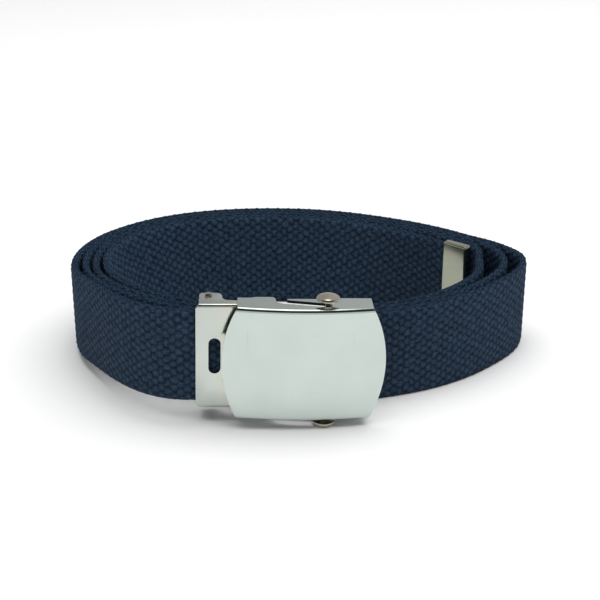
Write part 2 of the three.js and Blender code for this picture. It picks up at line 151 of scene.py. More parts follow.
# Stage, in metres
FLOOR_SIZE = 6.0
LAMP_PLACE = (0.25, 0.05, 1.25)
LAMP_SIZE = (2.0, 1.4)


def deselect():
    if bpy.context.object and bpy.context.object.mode != 'OBJECT':
        bpy.ops.object.mode_set(mode='OBJECT')
    bpy.ops.object.select_all(action='DESELECT')


def activate(obj):
    deselect()
    obj.select_set(True)
    bpy.context.view_layer.objects.active = obj


def new_piece(name):
    obj = bpy.context.object
    obj.name = name
    obj.data.name = name
    return obj


def edit_all(obj):
    activate(obj)
    bpy.ops.object.mode_set(mode='EDIT')
    bpy.ops.mesh.select_all(action='SELECT')


def recalculate(obj):
    """Merge doubles and turn every face outwards."""
    edit_all(obj)
    bpy.ops.mesh.remove_doubles(threshold=1e-4)
    bpy.ops.mesh.normals_make_consistent(inside=False)
    bpy.ops.object.mode_set(mode='OBJECT')


def apply_modifier(obj, kind, **settings):
    activate(obj)
    bpy.ops.object.modifier_add(type=kind)
    modifier = obj.modifiers[-1]
    for key, value in settings.items():
        setattr(modifier, key, value)
    bpy.ops.object.modifier_apply(modifier=modifier.name)


def cut(obj, cutter):
    """Take the cutter's shape out of the piece."""
    apply_modifier(obj, 'BOOLEAN', object=cutter, operation='DIFFERENCE', solver='EXACT')
    bpy.data.objects.remove(cutter, do_unlink=True)


def soften(obj, width, segments=2, angle=35):
    """Round the sharp edges, then shade by angle."""
    if width:
        apply_modifier(
            obj, 'BEVEL', width=width, segments=segments, limit_method='ANGLE',
            angle_limit=math.radians(angle),
        )
    activate(obj)
    bpy.ops.object.shade_smooth_by_angle(angle=math.radians(angle))


def mapped_grid(name, columns, rows, place):
    """A grid primitive whose crossing (i, j) is moved to place(i, j)."""
    deselect()
    bpy.ops.mesh.primitive_grid_add(x_subdivisions=columns, y_subdivisions=rows, size=2)
    obj = new_piece(name)
    for vertex in obj.data.vertices:
        i = round((vertex.co.x + 1) / 2 * columns)
        j = round((vertex.co.y + 1) / 2 * rows)
        vertex.co = place(i, j)
    return obj


def plate(name, outline, low, high):
    """A flat outline in plan, extruded from z low to z high."""
    deselect()
    bpy.ops.mesh.primitive_circle_add(vertices=len(outline), radius=1, fill_type='NGON')
    obj = new_piece(name)
    for vertex, (x, y) in zip(obj.data.vertices, outline):
        vertex.co = (x, y, low)
    edit_all(obj)
    bpy.ops.mesh.extrude_region_move(TRANSFORM_OT_translate={"value": (0, 0, high - low)})
    bpy.ops.object.mode_set(mode='OBJECT')
    recalculate(obj)
    return obj


def front_plate(name, outline, near, far):
    """A flat outline in front view (x across, z up), extruded from y near to y far."""
    obj = plate(name, outline, -far, -near)
    obj.data.transform(Matrix.Rotation(math.pi / 2, 4, 'X'))
    return obj


def turned(name, profile, x, y, sides):
    """A disc extruded and scaled along an upright axis through (radius, height) pairs."""
    deselect()
    radius, height = profile[0]
    bpy.ops.mesh.primitive_circle_add(
        vertices=sides, radius=radius, fill_type='NGON', location=(x, y, height),
    )
    obj = new_piece(name)
    bpy.ops.object.transform_apply(location=True, rotation=True, scale=True)
    edit_all(obj)
    for next_radius, next_height in profile[1:]:
        bpy.ops.mesh.extrude_region_move(
            TRANSFORM_OT_translate={"value": (0, 0, next_height - height)},
        )
        ratio = next_radius / radius
        bpy.ops.transform.resize(
            value=(ratio, ratio, 1), center_override=(x, y, next_height),
        )
        radius, height = next_radius, next_height
    bpy.ops.object.mode_set(mode='OBJECT')
    recalculate(obj)
    return obj


def arc(x, y, radius, start, end, steps):
    """Points on an arc, angles in degrees."""
    points = []
    for k in range(steps + 1):
        turn = math.radians(start + (end - start) * k / steps)
        points.append((x + radius * math.cos(turn), y + radius * math.sin(turn)))
    return points


def bend(a, b, c, steps):
    """Points on the quadratic curve from a to c that heads for b, the start left out."""
    points = []
    for k in range(1, steps + 1):
        f = k / steps
        points.append(tuple(
            (1 - f) ** 2 * p + 2 * f * (1 - f) * q + f ** 2 * r for p, q, r in zip(a, b, c)
        ))
    return points


def smoothstep(low, high, value):
    f = min(max((value - low) / (high - low), 0), 1)
    return f * f * (3 - 2 * f)


def sheet_section(height, fold, flange_rows, fold_rows, face_rows):
    """Rows of a folded sheet's outer side, lower flange's back edge to the upper one's.

    Each row is (y, z, share), and share is how far back a flange row lies, from 0 to 1.
    """
    h = height / 2
    flange = [(fold, k / flange_rows) for k in range(flange_rows, 0, -1)]
    rows = [(y, -h, share) for y, share in flange]
    rows += [(y, z, 0) for y, z in arc(fold, fold - h, fold, 270, 180, fold_rows)]
    span = height - 2 * fold
    rows += [(0, fold - h + span * k / face_rows, 0) for k in range(1, face_rows)]
    rows += [(y, z, 0) for y, z in arc(fold, h - fold, fold, 180, 90, fold_rows)]
    rows += [(y, h, share) for y, share in reversed(flange)]
    return rows


def folded_sheet(name, rows, columns, span, back, bulge):
    """A sheet folded along the section's rows. span(z) gives its left and right edge, back(x)
    its flanges' depth, and bulge(x) how far the front falls back."""
    def place(i, j):
        y, z, share = rows[j]
        left, right = span(z)
        x = left + (right - left) * i / columns
        front = y + bulge(x)
        return x, front + share * (back(x) - front), z

    obj = mapped_grid(name, columns, len(rows) - 1, place)
    activate(obj)
    return obj


def finish(obj, node, material, place, body="belt"):
    """Bring a modelled piece to its place and let it stand for its CAD node."""
    obj.data.transform(place)
    obj.data.materials.clear()
    obj.data.materials.append(material)
    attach(obj, body)
    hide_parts(node)


class Nodes:
    """Adds nodes to a material in few words."""

    def __init__(self, name):
        self.material = bpy.data.materials.new(name)
        self.material.use_nodes = True
        self.tree = self.material.node_tree
        self.shader = self.tree.nodes["Principled BSDF"]

    def add(self, kind, inputs=(), **settings):
        node = self.tree.nodes.new(kind)
        for key, value in settings.items():
            setattr(node, key, value)
        for key, value in dict(inputs).items():
            self.put(node.inputs[key], value)
        return node

    def put(self, socket, value):
        if isinstance(value, bpy.types.NodeSocket):
            self.tree.links.new(value, socket)
        else:
            socket.default_value = value

    def math(self, operation, *values):
        return self.add(
            'ShaderNodeMath', {k: v for k, v in enumerate(values)}, operation=operation,
        ).outputs[0]

    def noise(self, vector, scale, detail=2.0, roughness=0.5):
        return self.add('ShaderNodeTexNoise', {
            "Vector": vector, "Scale": scale, "Detail": detail, "Roughness": roughness,
        }).outputs["Fac"]

    def stretch(self, vector, scale, turn=(0, 0, 0)):
        return self.add('ShaderNodeMapping', {
            "Vector": vector, "Scale": scale, "Rotation": turn,
        }).outputs[0]

    def range(self, value, low, high, to_low, to_high):
        return self.add('ShaderNodeMapRange', {
            "Value": value, "From Min": low, "From Max": high,
            "To Min": to_low, "To Max": to_high,
        }).outputs[0]

    def blend(self, share, a, b):
        return self.add('ShaderNodeMix', {0: share, 6: a, 7: b}, data_type='RGBA').outputs[2]

    def set(self, **values):
        for key, value in values.items():
            self.put(self.shader.inputs[key.replace("_", " ").strip()], value)


def rgb(color):
    return (*color[:3], 1.0)


def plated_metal(name, color, roughness, wear, reflection_tint=None, reflection_from=0.0, reflection_to=1.0):
    """Nickel plate: broad smudges, faint hair scratches and a slightly uneven surface.

    A cream colour comes in from left to right between two places: a painted reflection, not a
    colour of the plating itself.
    """
    n = Nodes(name)
    place = n.add('ShaderNodeTexCoord').outputs["Object"]
    color_here = rgb(color)
    # Painted reflection: the cream colour blended in here stands for a reflection, not for
    # yellowed plating
    if reflection_tint:
        across = n.add('ShaderNodeSeparateXYZ', {0: place}).outputs[0]
        color_here = n.blend(n.range(across, reflection_from, reflection_to, 0, 1), rgb(color), rgb(reflection_tint))
    smudge = n.noise(place, 70, 3, 0.55)
    fine = n.noise(place, 900, 2, 0.6)
    hair = n.noise(n.stretch(place, (60, 60, 2400), (0.0, 0.12, 0.0)), 1.0, 2, 0.7)
    hair_up = n.noise(n.stretch(place, (2600, 300, 60), (0.0, 0.2, 0.0)), 1.0, 2, 0.7)
    scratch = n.math('MAXIMUM', n.range(hair, 0.66, 0.8, 0, 1), n.range(hair_up, 0.68, 0.82, 0, 1))
    base = n.blend(n.range(smudge, 0.35, 0.7, 0, 1), color_here, rgb([0.95 * c for c in color]))
    varied = n.blend(n.math('MULTIPLY', scratch, wear), base, rgb([0.72 * c for c in color]))
    rough = n.math('ADD', n.range(smudge, 0.3, 0.75, roughness, roughness + 0.07),
                   n.math('MULTIPLY', scratch, 0.12 * wear))
    height = n.math('ADD', n.math('MULTIPLY', smudge, 0.6),
                    n.math('SUBTRACT', n.math('MULTIPLY', fine, 0.06),
                           n.math('MULTIPLY', scratch, 0.05 * wear)))
    relief = n.add('ShaderNodeBump', {"Strength": 0.25, "Distance": 0.00012, "Height": height})
    n.set(Metallic=1.0, Base_Color=varied, Roughness=rough, Normal=relief.outputs[0])
    return n.material


def steel(name, color, roughness):
    """Plated pressed steel that was not polished: fine grain and darker hollows."""
    n = Nodes(name)
    place = n.add('ShaderNodeTexCoord').outputs["Object"]
    grain = n.noise(place, 1500, 3, 0.6)
    patch = n.noise(place, 160, 3, 0.6)
    tone = n.blend(n.range(patch, 0.35, 0.7, 0, 1), rgb(color), rgb([0.7 * c for c in color]))
    relief = n.add('ShaderNodeBump', {"Strength": 0.3, "Distance": 0.00005, "Height": grain})
    n.set(Metallic=1.0, Base_Color=tone, Normal=relief.outputs[0],
          Roughness=n.range(patch, 0.3, 0.7, roughness, roughness + 0.15))
    return n.material


def cotton(name, settings):
    """Plain-woven cotton: pale fuzzy yarn lumps over gaps darkened with painted shade, along the
    strap's own map.
    """
    n = Nodes(name)
    weave = n.add('ShaderNodeUVMap', uv_map="weave").outputs[0]
    place = n.add('ShaderNodeTexCoord').outputs["Object"]
    wander = n.add('ShaderNodeTexNoise', {
        "Vector": place, "Scale": 430.0, "Detail": 2.5, "Roughness": 0.6,
    })
    drift = n.add('ShaderNodeVectorMath', {
        0: n.add('ShaderNodeVectorMath', {0: wander.outputs["Color"], 1: (0.5, 0.5, 0.5)},
                 operation='SUBTRACT').outputs[0],
        1: (0.55, 0.62, 0.0),
    }, operation='MULTIPLY').outputs[0]
    moved = n.add('ShaderNodeVectorMath', {0: weave, 1: drift}, operation='ADD').outputs[0]
    part = n.add('ShaderNodeSeparateXYZ', {0: moved})

    def from_lumps(shift):
        """Squared distance in mm to the nearest lump centre of one set of yarns."""
        total = None
        for k, period in enumerate((WARP_PERIOD, ROW_PERIOD)):
            off = n.math('PINGPONG', n.math('ADD', part.outputs[k], shift), 0.5)
            square = n.math('POWER', n.math('MULTIPLY', off, period), 2.0)
            total = square if total is None else n.math('ADD', total, square)
        return total

    away = n.math('SMOOTH_MIN', from_lumps(0.0), from_lumps(0.5), 0.12)
    lump = n.range(away, 0.0, LUMP_EDGE, 1, 0)
    fibre = n.noise(n.stretch(moved, (2.4, 9, 1), (0, 0, 0.9)), 1.0, 3, 0.65)
    fuzz = n.noise(place, 2600, 3, 0.7)
    each = n.noise(moved, 1.3, 1, 0.5)
    patch = n.noise(place, 55, 3, 0.6)
    top = n.blend(n.range(fuzz, 0.42, 0.68, 0, 1), rgb(settings.color), rgb(settings.fuzz_color))
    tone = n.blend(n.range(patch, 0.3, 0.7, 0, 0.35), top, rgb(settings.color))
    speck = n.noise(place, 1500, 2, 0.6)
    # Fibre, per-lump and speck noise that makes the lumps and the painted shade between them
    # uneven
    varied = n.math('MULTIPLY', n.math('SUBTRACT', fibre, 0.5), 1.5)
    for source, share in ((each, 0.9), (speck, 1.1)):
        part_varied = n.math('MULTIPLY', n.math('SUBTRACT', source, 0.5), share)
        varied = n.math('ADD', varied, part_varied)
    # Painted shade: the gaps between the yarn lumps take the dark gap colour, where shade falls
    # between the yarns
    depth = n.range(n.math('ADD', lump, varied), 0.05, 1.1, 0, 1)
    color = n.blend(depth, rgb(settings.gap_shade_color), tone)
    height = n.math('ADD', n.math('MULTIPLY', lump, 1.2),
                    n.math('ADD', n.math('MULTIPLY', fibre, 0.9), n.math('MULTIPLY', speck, 0.6)))
    relief = n.add('ShaderNodeBump', {"Strength": 1.0, "Distance": 0.0007, "Height": height})
    n.set(Base_Color=color, Roughness=0.95, Normal=relief.outputs[0])
    n.shader.inputs["Specular IOR Level"].default_value = 0.15
    n.shader.inputs["Sheen Weight"].default_value = settings.sheen
    n.shader.inputs["Sheen Roughness"].default_value = 0.45
    n.shader.inputs["Sheen Tint"].default_value = rgb(settings.fuzz_color)
    return n.material


# Points of one ring lie within this much of each other along x, where the clamp holds them
RING_DEPTH = 0.0008


def strap_rings():
    """The CAD strap's cross-section rings, from the end in the clamp to the end in the cap."""
    walk = bmesh.new()
    walk.from_mesh(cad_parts["strap"].data)
    bmesh.ops.remove_doubles(walk, verts=walk.verts, dist=1e-6)
    low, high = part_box("clamp_frame")
    held = [
        v for v in walk.verts
        if all(low[k] - MM < v.co[k] < high[k] + MM for k in range(3))
    ]
    last = max(v.co.x for v in held)
    ring = [v for v in held if v.co.x > last - RING_DEPTH]
    seen = set(ring)
    rings = []
    while ring:
        rings.append([v.co.copy() for v in ring])
        following = []
        for vertex in ring:
            for edge in vertex.link_edges:
                other = edge.other_vert(vertex)
                if other not in seen:
                    seen.add(other)
                    following.append(other)
        ring = following
    walk.free()
    return rings


def strap_course():
    """The strap's middle line as (x, y, lower edge, width, lean x, lean y) in mm."""
    course = []
    for ring in strap_rings():
        low = min(p.z for p in ring)
        high = max(p.z for p in ring)
        middle = sum(ring, Vector()) / len(ring)
        lower = [p for p in ring if p.z < middle.z]
        upper = [p for p in ring if p.z >= middle.z]
        tilt = sum(lower, Vector()) / len(lower) - sum(upper, Vector()) / len(upper)
        lean = tilt.xy * (high - low) / -tilt.z
        course.append(Vector((middle.x, middle.y, low, high - low, lean.x, lean.y)) / MM)
    return course


def spaced(course, step):
    """The course on a smooth curve, at even steps. Returns the points and their length."""
    dense = []
    for k in range(len(course) - 1):
        a = course[max(k - 1, 0)]
        b = course[k]
        c = course[k + 1]
        d = course[min(k + 2, len(course) - 1)]
        for m in range(8):
            f = m / 8
            dense.append(0.5 * (
                2 * b + (c - a) * f + (2 * a - 5 * b + 4 * c - d) * f ** 2
                + (3 * b - a - 3 * c + d) * f ** 3
            ))
    dense.append(course[-1])
    lengths = [0.0]
    for p, q in zip(dense, dense[1:]):
        lengths.append(lengths[-1] + (q.xy - p.xy).length)
    count = round(lengths[-1] / step)
    points = []
    k = 0
    for i in range(count + 1):
        goal = lengths[-1] * i / count
        while k < len(dense) - 2 and lengths[k + 1] < goal:
            k += 1
        f = (goal - lengths[k]) / (lengths[k + 1] - lengths[k])
        points.append(dense[k].lerp(dense[k + 1], min(max(f, 0), 1)))
    return points, lengths[-1]


class StrapSettings(bpy.types.PropertyGroup):
    lump_rise: FloatProperty(
        name="Lump Rise", description="How far the yarn lumps stand above the strap's face",
        default=0.00005, unit='LENGTH', precision=5,
    )
    gap_depth: FloatProperty(
        name="Gap Depth", description="How far the gaps between the lumps go in",
        default=0.00024, unit='LENGTH', precision=5,
    )
    scallop: FloatProperty(
        name="Edge Scallop", description="How deep the woven edge dips between its loops",
        default=0.00095, unit='LENGTH', precision=5,
    )
    color: FloatVectorProperty(
        name="Yarn", description="Colour of the cotton yarn", subtype='COLOR',
        default=(0.025, 0.051, 0.091),
    )
    fuzz_color: FloatVectorProperty(
        name="Fuzz", description="Colour of the yarn's loose fibres", subtype='COLOR',
        default=(0.062, 0.110, 0.178),
    )
    # Painted shade: this dark colour between the yarns stands in for the shade in the gaps of the
    # weave
    gap_shade_color: FloatVectorProperty(
        name="Gaps", description="Colour between the yarns", subtype='COLOR',
        default=(0.007, 0.014, 0.027),
    )
    sheen: FloatProperty(
        name="Sheen", description="Strength of the soft light on loose fibres",
        default=0.25, min=0, max=1, subtype='FACTOR',
    )


class BuckleSettings(bpy.types.PropertyGroup):
    color: FloatVectorProperty(
        name="Plate", description="Colour of the polished plating", subtype='COLOR',
        default=(0.57, 0.637, 0.603),
    )
    frame_color: FloatVectorProperty(
        name="Frame Plate", description="Colour of the clamp frame's plating",
        subtype='COLOR', default=(0.54, 0.588, 0.544),
    )
    # Painted reflection: this cream colour at the clamp frame's right stands in for a reflection
    # near the gap under the face, not for yellowed plating
    frame_reflection_tint: FloatVectorProperty(
        name="Frame Tint", description="Yellowed plating at the clamp frame's right",
        subtype='COLOR', default=(0.62, 0.60, 0.50),
    )
    steel_color: FloatVectorProperty(
        name="Steel", description="Colour of the jaw and the pin", subtype='COLOR',
        default=(0.42, 0.40, 0.36),
    )
    warm_color: FloatVectorProperty(
        name="Warm Plate", description="Colour of the roller's plating",
        subtype='COLOR', default=(0.50, 0.47, 0.39),
    )
    roughness: FloatProperty(
        name="Roughness", description="Blur of the polished plating's reflections",
        default=0.13, min=0, max=1, subtype='FACTOR',
    )
    edge: FloatProperty(
        name="Edge", description="Rounding of the sheet's cut edges",
        default=0.00014, unit='LENGTH', precision=5,
    )


class CapSettings(bpy.types.PropertyGroup):
    color: FloatVectorProperty(
        name="Cap Plate", description="Colour of the cap's plating", subtype='COLOR',
        default=(0.335, 0.35, 0.275),
    )
    rounding: FloatProperty(
        name="Rounding", description="Rounding of the cap's outer edges",
        default=0.0009, unit='LENGTH', precision=5,
    )


class StageSettings(bpy.types.PropertyGroup):
    floor_color: FloatVectorProperty(
        name="Floor", description="Colour of the floor", subtype='COLOR',
        default=(0.92, 0.92, 0.92),
    )
    light: FloatProperty(
        name="Light", description="Power of the large overhead lamp, in watts",
        default=19.0, min=0,
    )
    camera_place: FloatVectorProperty(
        name="Camera", description="Where the camera stands", subtype='TRANSLATION',
        unit='LENGTH', default=(-0.00001, -0.39461, 0.1848),
    )
    camera_tilt: FloatProperty(
        name="Camera Tilt", description="How far the camera looks down", subtype='ANGLE',
        unit='ROTATION', default=math.radians(23),
    )
    lens: FloatProperty(
        name="Lens", description="Focal length in millimetres", default=76.4,
    )


class WEBBELT_OT_strap(bpy.types.Operator):
    """Weave the strap along the CAD strap's course"""
    bl_idname = "webbelt.strap"
    bl_label = "Strap"

    def execute(self, context):
        s = context.scene.webbelt_strap
        points, length = spaced(strap_course(), WARP_PERIOD / STEPS_PER_PERIOD)
        if length < SHORTEST_STRAP:
            raise RuntimeError("the strap's course was not found in the frame")
        sides = []
        for k in range(len(points)):
            along = points[min(k + 1, len(points) - 1)].xy - points[max(k - 1, 0)].xy
            sides.append(Vector((along.y, -along.x)).normalized())
        around = 2 * (ROWS + 1 + EDGE_POINTS)
        half = STRAP_THICK / 2
        rise = s.lump_rise / MM
        fall = s.gap_depth / MM
        dip = s.scallop / MM

        def section(i, j):
            """Across and up offset of point j on the ring at station i, up from the middle."""
            j %= around
            face = 1
            if j >= around // 2:
                j -= around // 2
                face = -1
            wave = math.cos(2 * math.pi * i / STEPS_PER_PERIOD)
            if j <= ROWS:
                row = j - ROWS / 2
                lump = wave * math.cos(math.pi * (j - ROWS // 2))
                depth = rise + (lump - 1) / 2 * (rise + fall)
                edge = abs(row) == ROWS / 2
                across = half + depth - (EDGE_ROW_INSET if edge else 0)
                up = row * (STRAP_WIDTH - 2 * EDGE_ROW_FALL) / ROWS
                return face * across, face * up
            step = j - ROWS - 1
            across = half * EDGE_ACROSS[step]
            up = STRAP_WIDTH / 2 + EDGE_RISE[step] - dip * (1 - wave) / 2
            if face < 0:  # the lower edge stays above the floor
                up = min(up, STRAP_WIDTH / 2)
            return face * across, face * up

        def place(i, j):
            p = points[i]
            across, up = section(i, j)
            lean = Vector(p[4:6]) * (LOOSE_LEAN * (0.5 - up / STRAP_WIDTH) - 0.5)
            plan = p.xy + sides[i] * across + lean
            z = p.z + p.w / 2 + up * p.w / STRAP_WIDTH
            return plan.x, plan.y, z

        columns = len(points) - 1
        strap = mapped_grid("web_strap", columns, around, place)
        layer = strap.data.uv_layers[0]
        layer.name = "weave"
        for entry in layer.data:
            u, v = entry.uv
            entry.uv = (u * columns / STEPS_PER_PERIOD, (v * around - ROWS // 2) / 2)
        edit_all(strap)
        bpy.ops.mesh.remove_doubles(threshold=1e-3)
        bpy.ops.mesh.select_all(action='DESELECT')
        bpy.ops.mesh.select_non_manifold()
        bpy.ops.mesh.edge_face_add()
        bpy.ops.mesh.select_all(action='SELECT')
        bpy.ops.mesh.normals_make_consistent(inside=False)
        bpy.ops.object.mode_set(mode='OBJECT')
        bpy.ops.object.shade_smooth()
        finish(strap, "strap", cotton("navy_cotton", s), Matrix.Scale(MM, 4))
        return {'FINISHED'}


class WEBBELT_OT_face(bpy.types.Operator):
    """Press the buckle's bulged face with its flanges, slots and strips"""
    bl_idname = "webbelt.face"
    bl_label = "Buckle Face"

    def execute(self, context):
        s = context.scene.webbelt_buckle
        middle = FACE_WIDTH / 2 - FACE_SIDE_RADIUS

        def span(z):
            reach = middle + math.sqrt(FACE_SIDE_RADIUS ** 2 - z * z)
            return -reach, reach

        def bulge(x):
            return FACE_BULGE * (2 * x / FACE_WIDTH) ** 2

        def back(x):
            bump = smoothstep(BUMP_LEFT, BUMP_TOP_LEFT, x) if x < -4 else 0
            return FLANGE_DEPTH + BUMP_RISE * bump

        rows = sheet_section(FACE_HEIGHT, FACE_FOLD, 6, 7, 24)
        face = folded_sheet("face_shell", rows, 96, span, back, bulge)
        recalculate(face)
        if sum(p.normal.y for p in face.data.polygons) > 0:
            face.data.flip_normals()
        apply_modifier(face, 'SOLIDIFY', thickness=SHEET, offset=-1, use_even_offset=True)
        apply_modifier(
            face, 'BEVEL', width=s.edge / MM, segments=2, limit_method='ANGLE',
            angle_limit=math.radians(50),
        )
        cut(face, plate("slot_cutter", slot_waste(), -FACE_HEIGHT, FACE_HEIGHT))
        soften(face, 0, angle=30)
        finish(face, "buckle_face", context.scene["face_metal"], BUCKLE)
        return {'FINISHED'}


def slot_waste():
    """Plan of what is cut from the flanges: the roller's slot and the step behind it."""
    run = Vector(SLOT_MOUTH) - Vector(SLOT_END)
    side = Vector((-run.y, run.x)).normalized() * SLOT_HALF_WIDTH
    tilt = math.degrees(math.atan2(side.y, side.x))
    end = Vector(SLOT_END)
    mouth = Vector(SLOT_MOUTH)
    rear = mouth - side
    front = mouth + side
    clear = FLANGE_DEPTH + 3
    top = FLANGE_DEPTH + BUMP_RISE
    outline = [(SLOT_END[0] + 2.4, clear), (SLOT_END[0] + 2.4, FLANGE_DEPTH)]
    outline += [(SLOT_END[0] + 1.2, STRIP_DEPTH), (rear.x + 0.9, STRIP_DEPTH)]
    outline += bend((rear.x + 0.9, STRIP_DEPTH), (rear.x - 0.3, STRIP_DEPTH), tuple(rear), 5)
    outline += arc(*end, SLOT_HALF_WIDTH, tilt + 180, tilt, 12)
    outline.append(tuple(front))
    low = (BUMP_TOP_RIGHT + 1.8, SLOT_MOUTH[1] - SLOT_HALF_WIDTH + 0.4)
    lean = (BUMP_TOP_RIGHT + 1.9, (low[1] + top) / 2)
    outline += bend(tuple(front), low, lean, 5)
    outline += bend(lean, (BUMP_TOP_RIGHT + 2, top), (BUMP_TOP_RIGHT, top), 5)
    outline.append((BUMP_TOP_RIGHT, clear))
    return outline


class WEBBELT_OT_clamp(bpy.types.Operator):
    """Fold the clamp frame and fit its toothed jaw and pin"""
    bl_idname = "webbelt.clamp"
    bl_label = "Clamp"

    def execute(self, context):
        s = context.scene.webbelt_buckle
        edge = s.edge / MM
        depth = PIN_DEPTH - FRAME_FRONT
        rows = sheet_section(FRAME_HEIGHT, FRAME_FOLD, 1, 6, 1)
        holder = folded_sheet(
            "clamp_plate", rows, 1, lambda z: (FRAME_LEFT, FRAME_RIGHT),
            lambda x: TAB_DEPTH, lambda x: 0,
        )
        recalculate(holder)
        if sum(p.normal.y * p.area for p in holder.data.polygons) > 0:
            holder.data.flip_normals()
        apply_modifier(holder, 'SOLIDIFY', thickness=SHEET, offset=-1, use_even_offset=True)
        h = FRAME_HEIGHT / 2
        fold = FRAME_FOLD
        waste = [(FRAME_RIGHT + 1, RIM_DEPTH), (TAB_RIGHT + 1.8, RIM_DEPTH_AT_TAB)]
        waste += bend(
            waste[-1], (TAB_RIGHT, RIM_DEPTH_AT_TAB + 0.2), (TAB_RIGHT, TAB_DEPTH - 3), 5,
        )
        waste += bend(
            waste[-1], (TAB_RIGHT, TAB_DEPTH), (TAB_RIGHT - 2.2, TAB_DEPTH), 6,
        )
        waste.append((TAB_LEFT + 1.6, TAB_DEPTH))
        waste += bend(waste[-1], (TAB_LEFT, TAB_DEPTH), (TAB_LEFT, TAB_DEPTH - 2), 6)
        waste += [(TAB_LEFT, fold), (FRAME_LEFT - 1, fold)]
        waste += [(FRAME_LEFT - 1, TAB_DEPTH + 2), (FRAME_RIGHT + 1, TAB_DEPTH + 2)]
        cut(holder, plate("tab_cutter", waste, -h - 1, h + 1))
        for side in (-1, 1):
            corner = [
                (FRAME_LEFT - 1, side * (h - CORNER_HEIGHT * (1 + 1 / CORNER_WIDTH))),
                (FRAME_LEFT + CORNER_WIDTH, side * h),
                (FRAME_LEFT + CORNER_WIDTH, side * (h + 2)),
                (FRAME_LEFT - 1, side * (h + 2)),
            ]
            cut(holder, front_plate("corner_cutter", corner, -1, TAB_DEPTH + 1))
        r = HOLE_WIDTH / 2
        reach = HOLE_HEIGHT / 2 - r
        hole = arc(HOLE_X, HOLE_RISE + reach, r, 0, 180, 14)
        hole += arc(HOLE_X, HOLE_RISE - reach, r, 180, 360, 14)
        cut(holder, front_plate("hole_cutter", hole, -1, SHEET + 1))
        bore = arc(PIN_X, depth, PIN_RADIUS + PIN_PLAY, 0, 345, 23)
        cut(holder, plate("bore_cutter", bore, -h - 1, h + 1))
        soften(holder, edge)
        shift = BUCKLE @ Matrix.Translation((0, FRAME_FRONT, 0))
        finish(holder, "clamp_frame", context.scene["frame_metal"], shift)

        half = h - SHEET - PIECE_GAP
        teeth = SHEET + 2 * PIECE_GAP + STRAP_THICK
        left = -JAW_TEETH * TOOTH_PITCH / 2
        outline = [(left, depth - 0.6)]
        for k in range(JAW_TEETH):
            tooth = left + TOOTH_PITCH * k
            outline.append((tooth + 0.4, teeth))
            outline.append((tooth + TOOTH_PITCH, teeth + TOOTH_HEIGHT))
        tail = teeth + TOOTH_HEIGHT + 0.1
        outline += [(JAW_RIGHT, tail), (JAW_RIGHT, tail + SHEET), (1 - left, tail + SHEET)]
        outline.append((1.2, depth + 1.2))
        outline += bend((1.2, depth + 1.2), (0, depth + 1.9), (-1.4, depth + 1.1), 6)
        jaw = plate("toothed_jaw", outline, -half, half)
        bore = arc(0, depth, PIN_RADIUS + PIN_PLAY, 0, 345, 23)
        cut(jaw, plate("bore_cutter", bore, -half - 1, half + 1))
        soften(jaw, edge)
        shift = BUCKLE @ Matrix.Translation((PIN_X, FRAME_FRONT, 0))
        finish(jaw, "clamp_jaw", context.scene["jaw_metal"], shift)

        upper = [
            (PIN_RADIUS, h + PIN_PLAY), (PIN_HEAD, h + PIN_PLAY), (PIN_HEAD, h + 0.5),
            (1.3 * PIN_RADIUS, h + 0.68), (0.6 * PIN_RADIUS, h + 0.75),
        ]
        lower = [(radius, -z) for radius, z in reversed(upper)]
        pin = turned("rivet_pin", lower + upper, PIN_X, PIN_DEPTH, 28)
        soften(pin, 0)
        finish(pin, "jaw_pin", context.scene["pin_metal"], BUCKLE)
        return {'FINISHED'}


class WEBBELT_OT_roller(bpy.types.Operator):
    """Turn the roller with a neck and a domed knob at each end"""
    bl_idname = "webbelt.roller"
    bl_label = "Roller"

    def execute(self, context):
        outside = FACE_HEIGHT / 2
        upper = [
            (ROLLER_RADIUS, ROD_HALF - 0.7), (ROLLER_RADIUS - 0.12, ROD_HALF - 0.45),
            (ROLLER_RADIUS - 0.4, ROD_HALF - 0.3), (NECK_RADIUS, ROD_HALF - 0.3),
            (NECK_RADIUS, outside + 0.9), (NECK_RADIUS * 1.15, outside + 1.2),
            (NECK_RADIUS * 1.6, outside + 1.42),
        ]
        rim = KNOB_TOP - 1.62
        upper += [(KNOB_RADIUS * 0.86, rim), (KNOB_RADIUS * 0.97, rim + 0.12)]
        upper += [
            (KNOB_RADIUS * math.cos(turn), rim + 0.36 + 1.26 * math.sin(turn))
            for turn in (math.radians(a) for a in (0, 14, 28, 42, 55, 67, 78, 86))
        ]
        lower = [(radius, -z) for radius, z in reversed(upper)]
        roller = turned("slide_roller", lower + upper, *SLOT_END, 48)
        roller.data.transform(Matrix.Translation((0, 0, ROLLER_LIFT)))
        soften(roller, 0, angle=40)
        finish(roller, "roller", context.scene["roller_metal"], BUCKLE, "roller")
        return {'FINISHED'}


